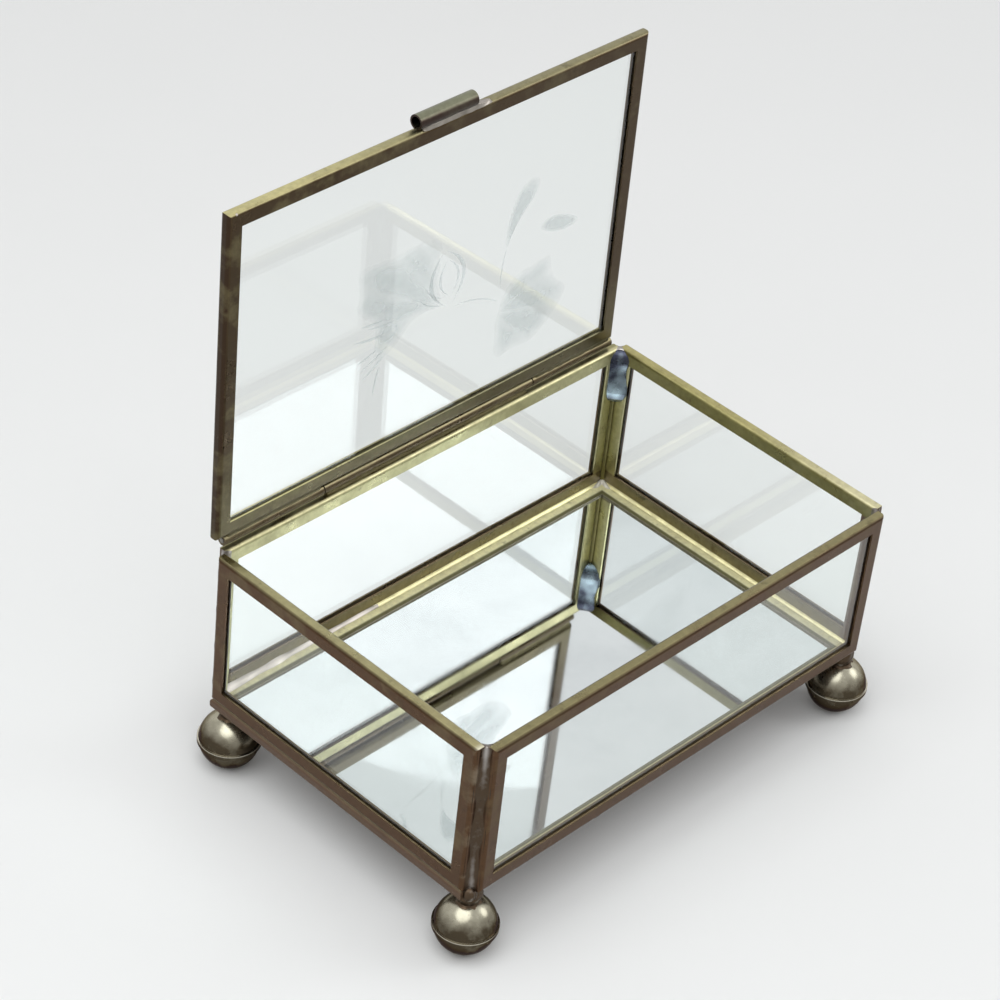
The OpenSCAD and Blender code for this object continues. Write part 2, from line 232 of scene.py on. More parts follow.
class Finish:
    """A node material: a Principled shader, with short calls for the nodes that feed it."""

    def __init__(self, name, **sockets):
        self.material = bpy.data.materials.new(name)
        self.material.use_nodes = True
        self.tree = self.material.node_tree
        self.shader = self.tree.nodes["Principled BSDF"]
        self.output = self.tree.nodes["Material Output"]
        for socket, value in sockets.items():
            self.shader.inputs[socket.replace("_", " ")].default_value = value

    def link(self, source, target):
        """Joins an output to an input."""
        self.tree.links.new(source, target)

    def node(self, kind, **settings):
        """A new node of one kind, with its own settings."""
        made = self.tree.nodes.new(kind)
        for key, value in settings.items():
            setattr(made, key, value)
        return made

    def coords(self, stretch=(1, 1, 1), output="Object"):
        """The point's place or its normal in the piece's rest frame, stretched if asked."""
        source = self.node("ShaderNodeTexCoord").outputs[output]
        if stretch == (1, 1, 1):
            return source
        mapping = self.node("ShaderNodeMapping")
        mapping.inputs["Scale"].default_value = stretch
        self.link(source, mapping.inputs["Vector"])
        return mapping.outputs["Vector"]

    def noise(self, size_mm, detail=4, rough=0.55, seed=0):
        """Cloudy noise whose clouds are about size_mm wide."""
        made = self.node("ShaderNodeTexNoise", noise_dimensions="4D")
        made.inputs["Scale"].default_value = 1000 / size_mm
        made.inputs["Detail"].default_value = detail
        made.inputs["Roughness"].default_value = rough
        made.inputs["W"].default_value = seed
        self.link(self.coords(), made.inputs["Vector"])
        return made.outputs["Fac"]

    def facing(self, axis):
        """The surface's own direction along one axis, in the piece's rest frame."""
        split = self.node("ShaderNodeSeparateXYZ")
        self.link(self.coords(output="Normal"), split.inputs[0])
        return split.outputs[axis]

    def where(self, axis):
        """The point's own place along one axis, in metres in the part's frame."""
        split = self.node("ShaderNodeSeparateXYZ")
        self.link(self.coords(), split.inputs[0])
        return split.outputs[axis]

    def value(self, name):
        """A number that the mesh keeps at each of its points."""
        return self.node("ShaderNodeAttribute", attribute_name=name).outputs["Fac"]

    def depth(self):
        """How far the point is outside the walls' outer faces in plan: negative inside."""
        past = [
            self.math("SUBTRACT", self.math("ABSOLUTE", self.where(axis), 0.0), size / 2000)
            for axis, size in (("X", CASKET[0]), ("Y", CASKET[1]))]
        return self.math("MAXIMUM", *past)

    def spread(self, value, low, high, to_low=0.0, to_high=1.0):
        """A value between low and high, eased to a number between to_low and to_high."""
        made = self.node("ShaderNodeMapRange", interpolation_type="SMOOTHSTEP")
        for n, number in enumerate((low, high, to_low, to_high), 1):
            made.inputs[n].default_value = number
        self.link(value, made.inputs[0])
        return made.outputs[0]

    def math(self, operation, a, b):
        """One step of arithmetic on two numbers or outputs. Only an addition is kept between
        0 and 1."""
        made = self.node("ShaderNodeMath", operation=operation, use_clamp=operation == "ADD")
        for n, value in enumerate((a, b)):
            if isinstance(value, (int, float)):
                made.inputs[n].default_value = value
            else:
                self.link(value, made.inputs[n])
        return made.outputs[0]

    def blend(self, factor, a, b):
        """A colour between a at 0 and b at 1."""
        made = self.node("ShaderNodeMix", data_type="RGBA")
        self.link(factor, made.inputs["Factor"])
        for socket, value in (("A", a), ("B", b)):
            target = [i for i in made.inputs if i.name == socket and i.type == "RGBA"][0]
            if isinstance(value, tuple):
                target.default_value = value
            else:
                self.link(value, target)
        return [o for o in made.outputs if o.type == "RGBA"][0]

    def color(self, source):
        self.link(source, self.shader.inputs["Base Color"])

    def roughness(self, source):
        self.link(source, self.shader.inputs["Roughness"])

    def bump(self, height, depth_mm, strength):
        """Raises the surface's look by a height of at most depth_mm."""
        made = self.node("ShaderNodeBump")
        made.inputs["Distance"].default_value = depth_mm / 1000
        made.inputs["Strength"].default_value = strength
        self.link(height, made.inputs["Height"])
        self.link(made.outputs["Normal"], self.shader.inputs["Normal"])


SHADED_BRASS = rgb(112, 94, 82)
# Painted shade for the inner creases of the corner seams
CREASE_SHADE_SOLDER = rgb(104, 98, 62)
PITS = rgb(52, 44, 38)
SPECKS = rgb(52, 42, 34)
WHITE_FROST = rgb(198, 205, 207)


def aged_brass_with_painted_light(name, top, side, dark, shine=(0.24, 0.44), inside=None, low_top_shade=None, levels=(0, 1),
               walls=True, bands=(), fold_shade=0.0, metal=1.0, high=None):
    """Brass with painted light and its own tarnish: painted lighter olive gold where it faces up,
    painted in a browner shade and reflection on its sides, with dark tarnish blotches and fine
    drawing marks. inside is a pair of painted colours, below and above, for faces that look in
    towards the middle of the box, and low_top_shade is the up-facing brass's colour below, a
    painted shade. The change from below to above lies between the two levels, in millimetres.
    On the walls the outermost millimetre keeps the sides' brown, also on the edges beside the
    glass, and the inner faces at the front are a shaded brown. Each band is an axis, two
    distances back along it in millimetres, and the up-facing brass's colour beyond them; the
    bands paint highlights and lines of shade. The axis "in" runs inwards from the walls' outer
    faces. fold_shade is how dark the rounded bends are painted, as painted shade, and high is
    the colour of the top flange's inner face, painted in the shade under the rail."""
    finish = Finish(name, Metallic=metal)
    blotch = finish.noise(7, 5, 0.6)
    grain = finish.noise(1.1, 4, 0.6, seed=3)
    # Painted light: up-facing brass takes the lighter top colour, and upright faces the side colour, a
    # painted brown shade and reflection
    up = finish.spread(finish.facing("Z"), 0.4, 1.0)
    uneven = finish.spread(blotch, 0.3, 0.7, -0.16, 0.16)
    lit_and_uneven = finish.math("ADD", up, uneven)
    above = finish.spread(finish.where("Z"), levels[0] / 1000, levels[1] / 1000)
    flank = linear(side)
    # Painted light inside the box: faces that look inwards take their own painted colours, the lower
    # one a painted shade near the foot
    if inside:
        inward = finish.node("ShaderNodeVectorMath", operation="DOT_PRODUCT")
        finish.link(finish.coords((1, 1, 0)), inward.inputs[0])
        finish.link(finish.coords(output="Normal"), inward.inputs[1])
        share = finish.spread(inward.outputs["Value"], -0.012, 0.004, 1.0, 0.0)
        if walls:
            outermost = finish.spread(finish.depth(), -0.0010, -0.0007, 1.0, 0.0)
            share = finish.math("MULTIPLY", share, outermost)
        inner = finish.blend(above, linear(inside[0]), linear(inside[1]))
        if walls:
            front = -CASKET[1] / 2
            ahead = finish.spread(finish.where("Y"), (front + 5.7) / 1000, (front + 6.7) / 1000)
            inner = finish.blend(ahead, linear(SHADED_BRASS), inner)
        # Painted shade on the top flange's inner face, under the rail
        if high:
            rise = STAND + CASKET[2]
            flange = finish.spread(finish.where("Z"), (rise - 3.6) / 1000, (rise - 3.0) / 1000)
            inner = finish.blend(flange, inner, linear(high))
        flank = finish.blend(share, flank, inner)
    crown = linear(top)
    # Bands of painted highlight and painted shade on the up-facing brass
    for axis, near, far, color in bands:
        place_along = finish.depth() if axis == "in" else finish.where(axis)
        beyond = finish.spread(place_along, -far / 1000, -near / 1000)
        crown = finish.blend(beyond, linear(color), crown)
    # Painted shade on up-facing brass near the walls' foot
    if low_top_shade:
        crown = finish.blend(above, linear(low_top_shade), crown)
    tone = finish.blend(lit_and_uneven, flank, crown)
    # Painted shade on the rounded bends
    if fold_shade:
        rising = finish.spread(finish.facing("Z"), 0.2, 0.5)
        levelling = finish.spread(finish.facing("Z"), 0.8, 0.98, fold_shade, 0.0)
        fold = finish.math("MULTIPLY", rising, levelling)
        tone = finish.blend(fold, tone, linear(dark))
    tarnish = finish.spread(finish.noise(2.6, 6, 0.65, seed=7), 0.56, 0.74, 0.0, 0.5)
    tone = finish.blend(tarnish, tone, linear(dark))
    tone = finish.blend(finish.spread(grain, 0.35, 0.65, 0.0, 0.16), tone, linear(dark))
    finish.color(tone)
    finish.roughness(finish.spread(blotch, 0.3, 0.7, *shine))
    height = finish.math("ADD", grain, finish.spread(finish.noise(6, 3, 0.5, seed=5), 0, 1, 0, 1.5))
    finish.bump(height, 0.03, 0.5)
    return finish.material


def ball_brass_painted_light(name, top, side, rim_highlight):
    """A ball foot's lacquered brass with painted light: painted light olive where it faces up, a
    painted dark brown shade round its sides and below, a painted highlight line on the rolled
    band, and a thin coat that keeps its glint white."""
    finish = Finish(name, Metallic=1.0, Specular_Tint=(0.34, 0.28, 0.22, 1), Coat_Weight=0.2,
                    Coat_Roughness=0.16)
    cloud = finish.noise(4, 5, 0.6)
    # Painted light: lighter where the ball faces up, and a painted dark shade on its sides and below
    up = finish.spread(finish.facing("Z"), 0.25, 0.95)
    up = finish.math("ADD", up, finish.spread(cloud, 0.3, 0.7, -0.25, 0.2))
    tone = finish.blend(up, linear(side), linear(top))
    # Painted highlight: a light line on the rolled band
    height = finish.where("Z")
    middle = STAND + FOOT_Z
    low = finish.spread(height, (middle + 0.15) / 1000, (middle + 0.4) / 1000)
    high = finish.spread(height, (middle + 0.5) / 1000, (middle + 0.65) / 1000, 1.0, 0.0)
    tone = finish.blend(finish.math("MULTIPLY", low, high), tone, linear(rim_highlight))
    specks = finish.spread(finish.noise(1.1, 5, 0.65, seed=9), 0.58, 0.75, 0.0, 0.5)
    finish.color(finish.blend(specks, tone, linear(SPECKS)))
    finish.roughness(finish.spread(cloud, 0.3, 0.7, 0.2, 0.32))
    finish.bump(finish.noise(3.4, 4, 0.55, seed=12), 0.09, 0.6)
    return finish.material


def run_solder(name, dull, bright, shine=(0.28, 0.5), relief=0.07, pitted=0.5, metal=1.0):
    """Solder: dull and brown where it has aged, silver where the point value "bright" is 1, which
    also paints its glints, and a painted crease shade as dark as the old brass where "shade" is 1."""
    finish = Finish(name, Metallic=metal)
    mottle = finish.noise(1.8, 5, 0.6)
    # The value "bright" marks less tarnished solder, and also painted glints
    fresh = finish.value("bright")
    share = finish.math("ADD", fresh, finish.spread(mottle, 0.35, 0.75, -0.15, 0.12))
    tone = finish.blend(share, linear(dull), linear(bright))
    # Painted shade where the point value "shade" is 1
    shade = finish.value("shade")
    tone = finish.blend(shade, tone, linear(CREASE_SHADE_SOLDER))
    pits = finish.spread(finish.noise(0.7, 4, 0.6, seed=2), 0.58, 0.72, 0.0, pitted)
    finish.color(finish.blend(pits, tone, linear(PITS)))
    finish.roughness(finish.spread(mottle, 0.3, 0.7, *shine))
    finish.bump(finish.noise(1.3, 5, 0.6, seed=4), relief, 0.6)
    return finish.material


def give(nodes, material):
    """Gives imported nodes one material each, in place of their own."""
    for node in nodes:
        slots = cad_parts[node].data.materials
        slots.clear()
        slots.append(material)


def dress(piece, material, body, replaced=()):
    """Gives a new piece its material, its body and the nodes that it stands for."""
    piece.data.materials.append(material)
    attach(piece, body)
    if replaced:
        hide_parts(*replaced)


# Solder shapes


def notch_rings(s, length, seed, inner):
    """Sections of a seam, a closed line of two parabolas: its outer face bows in between the
    two panels' edges, and its inner face is a small hollow fillet that is inner(s) wide. Sines
    along them make both uneven, and they shrink towards the seam's two ends."""
    lump = [ripple(seed + k, (s,), 9.0) for k in range(4)]
    end = rounded_ends(s, length, 0.7)[:, None]
    edge = PANEL + 0.1
    start = np.stack([np.full_like(s, edge), RECESS + 0.1 * lump[0]], -1)
    finish = np.stack([RECESS + 0.1 * lump[1], np.full_like(s, edge)], -1)
    outer = arc_between(start, finish, -(SEAM_HOLLOW + 0.1 * lump[2]), OUTER_POINTS)
    width = np.maximum(inner(s) * (1 + 0.12 * lump[3]), 0.1)
    begin = np.stack([np.full_like(s, PANEL - 0.1), PANEL + width], -1)
    stop = np.stack([PANEL + width * (1 + 0.15 * lump[0]), np.full_like(s, PANEL - 0.1)], -1)
    inside = arc_between(begin, stop, -0.2 * width, INNER_POINTS)
    section = np.concatenate([outer, inside], 1)
    middle = np.array([PANEL - 0.3, PANEL - 0.3])
    fine = ripple(seed + 9, (s[:, None] + 0 * section[..., 0], section[..., 0], section[..., 1]), 2.2)
    away = section - middle
    away /= np.linalg.norm(away, axis=-1, keepdims=True)
    section = section + away * (0.02 * fine)[..., None]
    return middle + (section - middle) * (0.35 + 0.65 * end[..., None])


def fillet_rings(s, length, seed, width, a0, b0, reach=0.8, hollow=0.12, wave=5.0):
    """Sections of a fillet in an inside corner at (a0, b0): a parabola from one side to the
    other, width(s) along each, bowed in and made uneven by sines, and one point behind it in
    the corner. It thins to a sliver at both ends."""
    lump = [ripple(seed + k, (s,), wave) for k in range(3)]
    end = rounded_ends(s, length, reach)
    w = np.maximum(width(s) * end, 0.05)
    begin = np.stack([np.full_like(s, a0 - 0.1), b0 + w * (1 + 0.14 * lump[0])], -1)
    stop = np.stack([a0 + w * (1 + 0.1 * lump[1]), np.full_like(s, b0 - 0.1)], -1)
    face = arc_between(begin, stop, -w * (hollow + 0.04 * lump[2]), INNER_POINTS)
    back = np.broadcast_to(np.array([a0 - 0.15, b0 - 0.15]), (len(s), 1, 2))
    return np.concatenate([face, back], 1)


# Settings


def screen_color(name, what, red, green, blue):
    """A setting for one colour, whose default is a screen colour's three numbers."""
    return FloatVectorProperty(
        name=name, description=f"Colour of {what}", subtype="COLOR_GAMMA", size=3, min=0, max=1,
        default=rgb(red, green, blue))


class BrassSettings(bpy.types.PropertyGroup):
    # Painted light: the top colours are lighter and darker copies of one brass, for where light falls
    # and where shade does
    top: screen_color("Lit brass", "brass that faces up", 148, 143, 104)
    # A painted highlight along the front part of the right wall's top
    highlight_stripe: screen_color("Highlight brass", "the painted highlight on the front part of the right wall's top", 212, 206, 166)
    # A lighter copy of the brass for the right wall's top, painted light
    right: screen_color("Right brass", "the right wall's top", 176, 168, 116)
    # Painted shade on up-facing brass near the walls' foot
    low: screen_color("Low brass", "up-facing brass near the walls' foot", 112, 97, 72)
    # A darker copy of the brass for the front wall's top, painted shade
    front: screen_color("Front brass", "the front wall's top, a darker copy painted in shade", 144, 136, 100)
    # A lighter copy of the brass for the left wall's top, painted light
    left: screen_color("Left brass", "the left wall's top", 168, 160, 120)
    # Painted shade and reflection on the outer upright faces
    side: screen_color("Side brass", "brass on the outer upright faces", 88, 66, 48)
    # Painted light on the faces that look into the box
    inside: screen_color("Inner brass", "brass that faces into the box", 178, 173, 132)
    # Painted shade on the inner faces near the walls' foot
    sill: screen_color("Sill brass", "the inner faces along the walls' foot", 130, 122, 98)
    # A much lighter copy of the brass for the floor channel's top, painted light
    ledge: screen_color("Floor brass", "the floor channel's top inside the box", 234, 228, 182)
    # Painted light: the lid's rail colour, with a lighter left part set in its material
    rail: screen_color("Lid rail", "the lid's edges that face up when it is open", 146, 140, 108)
    # Painted shade on the lid's inner face, a little lighter by the hinge
    lid: screen_color("Lid brass", "the lid's inner face", 74, 61, 45)
    lid_foot: screen_color("Lid foot brass", "the lid's inner face by the hinge", 98, 90, 67)
    tarnish: screen_color("Tarnish", "the dark blotches", 56, 45, 34)
    # Painted light on the feet where they face up
    ball: screen_color("Ball feet", "the feet where they face up", 168, 164, 146)
    # A painted highlight on each foot's rolled band
    rim_highlight: screen_color("Foot band highlight", "the painted highlight on the rolled band round each foot", 188, 183, 168)


class SolderSettings(bpy.types.PropertyGroup):
    dull: screen_color("Aged solder", "the solder outside the box", 78, 65, 52)
    # The bright solder colour also paints glints
    bright: screen_color("Bright solder", "the aged solder's less tarnished spots and its painted glints", 176, 172, 168)
    fresh: screen_color("Fresh solder", "the silver runs inside the box", 196, 188, 180)
    blued: screen_color("Blued solder", "the fill in the back right corner", 160, 176, 184)
    fillet: FloatProperty(
        name="Back fillet", description="Width of the fillet along the back wall's foot",
        default=1.05, min=0.4, max=2.0)


class GlassSettings(bpy.types.PropertyGroup):
    tint: screen_color("Glass tint", "the clear panes", 249, 252, 251)
    silver: screen_color("Silvering", "the mirror", 214, 219, 220)
    frost: screen_color("Frost", "the cut spray", 236, 240, 239)
    relief: FloatProperty(
        name="Cut relief", description="Height of the cut spray's facets, in millimetres",
        default=0.05, min=0.02, max=0.3)


class StageSettings(bpy.types.PropertyGroup):
    floor: screen_color("Floor", "the table", 232, 231, 229)
    key: FloatProperty(
        name="Key light", description="Power of the large soft lamp", default=3.8, min=0, unit="POWER")
    fill: FloatProperty(
        name="Ambient light", description="Strength of the light from all round", default=0.62, min=0)
    lens: FloatProperty(
        name="Lens", description="Focal length of the camera", default=119.016, min=20, unit="CAMERA")


class CasketSettings(bpy.types.PropertyGroup):
    brass: PointerProperty(type=BrassSettings, name="Brass", description="Colours of the brass")
    solder: PointerProperty(type=SolderSettings, name="Solder", description="Looks of the solder")
    glass: PointerProperty(type=GlassSettings, name="Glass", description="Looks of the glass")
    stage: PointerProperty(type=StageSettings, name="Stage", description="Floor, light and camera")
    seed: IntProperty(name="Seed", description="Start of the unevenness in the solder", default=40)


def settings():
    return bpy.context.scene.casket


def solder_material(kind="hand_solder"):
    """The solder of one kind, made when it is first asked for."""
    s = settings().solder
    kinds = {
        "hand_solder": (s.dull[:], s.bright[:]),
        "fresh_solder": (rgb(126, 120, 112), s.fresh[:], (0.32, 0.48), 0.015, 0.15),
        # Painted light: the floor seams' inner face takes the floor ledge's lit colour
        "ledge_lit_solder": (s.dull[:], rgb(232, 224, 176), (0.36, 0.5), 0.03, 0.2),
        "hinge_solder": (rgb(100, 92, 66), rgb(150, 144, 112), (0.34, 0.5), 0.03, 0.15),
        "tack_solder": (rgb(128, 122, 110), rgb(236, 232, 224), (0.3, 0.45), 0.05, 0.3, 0.45),
        "blued_solder": (rgb(58, 60, 72), s.blued[:], (0.2, 0.38), 0.04, 0.2),
    }
    return bpy.data.materials.get(kind) or run_solder(kind, *kinds[kind])


def solder_piece(name, parts, bright, kind="hand_solder", body="box", replaced=()):
    """A new piece of solder from its skins. bright is one number for all of it, or one a point."""
    piece = solid(name, parts)
    point_value(piece, "bright", np.ravel(bright) * np.ones(len(piece.data.vertices)))
    dress(piece, solder_material(kind), body, replaced)
    return piece


# Operators


class CASKET_OT_channels(bpy.types.Operator):
    """Gives the six bound channels their aged brass, with painted light and shade"""

    bl_idname = "casket.channels"
    bl_label = "Brass channels"

    def execute(self, context):
        s = settings().brass
        wall = {
            "inside": (s.sill[:], s.inside[:]), "low_top_shade": s.low[:],
            "levels": (STAND + 3.2, STAND + 3.8)}
        # The back wall's top: a painted highlight along the inner part of its top, as a lighter band
        give(["back_frame"], aged_brass_with_painted_light(
            "aged_back_channel_painted_light", s.top[:], s.side[:], s.tarnish[:],
            bands=[("in", 1.2, 1.9, rgb(196, 190, 150))], **wall))
        # The right wall's top: a lighter copy of the brass as painted light, a painted highlight along
        # its front part, and painted shade on its top flange's inner face
        give(["right_frame"], aged_brass_with_painted_light(
            "aged_right_channel_painted_light", s.right[:], s.side[:], s.tarnish[:],
            bands=[("Y", -5.0, 32.0, s.highlight_stripe[:])], high=rgb(122, 116, 74), **wall))
        # The front wall's top: a darker copy of the brass as painted shade, with its rounded bends
        # painted darker still
        give(["front_frame"], aged_brass_with_painted_light(
            "aged_front_channel_painted_shade", s.front[:], s.side[:], s.tarnish[:], fold_shade=0.75, **wall))
        # The left wall's top: a lighter copy of the brass as painted light, a painted glint at its
        # front end, and painted shade on its rounded bends
        give(["left_frame"], aged_brass_with_painted_light(
            "aged_left_channel_painted_light", s.left[:], s.side[:], s.tarnish[:], fold_shade=0.6,
            bands=[("Y", 34.2, 35.9, rgb(240, 234, 208))], **wall))
        # The floor channel's top inside the box: a much lighter copy of the brass as painted light,
        # with a painted line of shade along its inner edge
        give(["floor_frame"], aged_brass_with_painted_light(
            "floor_channel", s.ledge[:], s.side[:], s.tarnish[:], (0.4, 0.55),
            inside=(s.sill[:], s.sill[:]), low_top_shade=s.low[:], levels=(STAND - 0.14, STAND - 0.03),
            bands=[("in", 4.5, 5.1, rgb(98, 95, 62))], metal=0.4))
        # The lid: painted light on the left part of its rail, a dark painted shade on its sides, and
        # painted shade on its inner face, a little lighter by the hinge
        give(["lid_frame"], aged_brass_with_painted_light(
            "aged_lid_channel_painted_light", s.rail[:], rgb(62, 49, 38), s.tarnish[:],
            bands=[("X", -5.0, 50.0, rgb(202, 194, 143))],
            inside=(s.lid_foot[:], s.lid[:]), levels=(STAND + 40, STAND + 60), walls=False))
        return {"FINISHED"}


class CASKET_OT_panes(bpy.types.Operator):
    """Gives the panes clear glass, and the floor its silvering and painted back"""

    bl_idname = "casket.panes"
    bl_label = "Glass and mirror"

    def execute(self, context):
        s = settings().glass
        clear = Finish("clear_sheet", Roughness=0.0, IOR=1.5, Transmission_Weight=1.0)
        clear.shader.inputs["Base Color"].default_value = linear(s.tint[:])
        clear.bump(clear.noise(38, 2, 0.4), 0.02, 0.25)
        open_light = clear.node("ShaderNodeBsdfTransparent")
        open_light.inputs["Color"].default_value = linear(rgb(247, 250, 249))
        mix = clear.node("ShaderNodeMixShader")
        clear.link(clear.node("ShaderNodeLightPath").outputs["Is Shadow Ray"], mix.inputs[0])
        clear.link(clear.shader.outputs[0], mix.inputs[1])
        clear.link(open_light.outputs[0], mix.inputs[2])
        clear.link(mix.outputs[0], clear.output.inputs["Surface"])
        give([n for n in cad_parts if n.endswith("_glass")], clear.material)

        mirror = Finish("silvered_sheet", Metallic=1.0)
        under = mirror.spread(mirror.facing("Z"), -0.6, -0.4, 1.0, 0.0)
        cloud = mirror.noise(22, 5, 0.6)
        silver = mirror.blend(
            mirror.spread(cloud, 0.4, 0.75, 0.0, 0.35), linear(s.silver[:]), linear(rgb(188, 194, 196)))
        mirror.color(mirror.blend(under, silver, linear(rgb(92, 80, 70))))
        haze = mirror.spread(cloud, 0.35, 0.75, 0.015, 0.07)
        mirror.roughness(mirror.math("ADD", haze, mirror.math("MULTIPLY", under, 0.5)))
        give(["floor_mirror"], mirror.material)
        return {"FINISHED"}


class CASKET_OT_feet(bpy.types.Operator):
    """Gives the pressed ball feet their brass, with painted light and shade"""

    bl_idname = "casket.feet"
    bl_label = "Ball feet"

    def execute(self, context):
        s = settings().brass
        # The balls' colours are painted light: a lit top, a dark shaded side and a highlight on the
        # band
        balls = ball_brass_painted_light("ball_brass_painted_light", s.ball[:], rgb(68, 59, 44), s.rim_highlight[:])
        give([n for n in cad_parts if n.startswith("foot_cup")], balls)
        return {"FINISHED"}


class CASKET_OT_corner_seams(bpy.types.Operator):
    """Runs a lumpy solder seam down each corner of the walls"""

    bl_idname = "casket.corner_seams"
    bl_label = "Corner seams"

    def execute(self, context):
        height = CASKET[2] - 0.1
        s = close_ended(height, 120, 0.7)
        down = height - s
        # Inside, each seam is wide down to the crown line and at its foot, and narrow between
        # them: a step and a bell on top of an even width. Below the shade line its inner face is
        # painted as dark as the brass, a painted shade in the corner's crease.
        narrow = 0.35
        crown_line = 10.5
        shade_line = 11
        crowns = {"front_left": 1.1, "front_right": 1.0, "back_left": 1.3, "back_right": 1.0}
        for n, (name, (right, back)) in enumerate(CORNERS.items()):
            wide = crowns[name]

            def inner(z, wide=wide):
                crown = wide / (1 + np.exp((height - z - crown_line) / 0.5))
                foot = 0.5 * wide * np.exp(-((z / 1.8) ** 2))
                return narrow + crown + foot

            section = notch_rings(s, height, settings().seed + 20 * n, inner)
            corner = (right * CASKET[0], back * CASKET[1], 0.05)
            a_way = (1 - 2 * right, 0, 0)
            b_way = (0, 1 - 2 * back, 0)
            rings = along(corner, (0, 0, 1), s, a_way, b_way, section)
            inside = np.zeros(section.shape[:2])
            inside[:, OUTER_POINTS:] = (0.45 / (1 + np.exp((down - shade_line) / 0.6)))[:, None]
            # Painted glints near the top of the two back seams
            top_glint = 0.9 if back else 0.0
            inside += top_glint * np.exp(-(((down - 1.0) / 1.3) ** 2))[:, None]
            if name == "front_left":
                # Its outer face is painted bright along its middle, near the top and near the foot:
                # painted highlights on partly silvery solder
                across = np.arange(OUTER_POINTS) - (OUTER_POINTS - 1) / 2
                middle = np.exp(-((across / 1.9) ** 2))
                ends = 0.85 * np.exp(-((down / 6) ** 2)) + 0.5 * np.exp(-((s / 8) ** 2))
                inside[:, :OUTER_POINTS] += (0.05 + ends)[:, None] * middle
            piece = solder_piece(
                f"corner_solder_{name}", [rings], inside, replaced=[f"corner_seam_{name}"])
            # Painted shade on the inner face below the shade line
            shade = np.zeros(section.shape[:2])
            shade[:, OUTER_POINTS:] = (1 / (1 + np.exp((shade_line - down) / 0.6)))[:, None]
            point_value(piece, "shade", shade)

        # The back right corner was filled across both flanges, from its top down: a nearly flat
        # fillet with long round ends, a little wider along the right wall. It is brighter
        # towards its foot, with a gleam in its middle not far above that.
        length = 13.8
        reach = 3.2
        wider = 1.22
        s = close_ended(length, 60, reach)
        width = np.full_like(s, 2.9)
        section = fillet_rings(
            s, length, settings().seed + 90, lambda x: width, PANEL, PANEL, reach, 0.03, 20.0)
        section[..., 1] = PANEL + wider * (section[..., 1] - PANEL)
        corner = (CASKET[0], CASKET[1], CASKET[2] - 0.15 - length)
        rings = along(corner, (0, 0, 1), s, (-1, 0, 0), (0, -1, 0), section)
        speck = ripple(settings().seed + 95, (rings[..., 0], rings[..., 1], rings[..., 2]), 4)
        fade = (0.62 - 0.52 * s / length)[:, None] + 0.28 * speck
        across = np.arange(section.shape[1]) - (INNER_POINTS - 1) / 2
        middle = np.exp(-((across / 1.8) ** 2))
        fade = fade + np.exp(-(((s - 3.8) / 0.9) ** 2))[:, None] * middle
        solder_piece("corner_fill_back_right", [rings], np.clip(fade, 0, 1), "blued_solder")
        return {"FINISHED"}


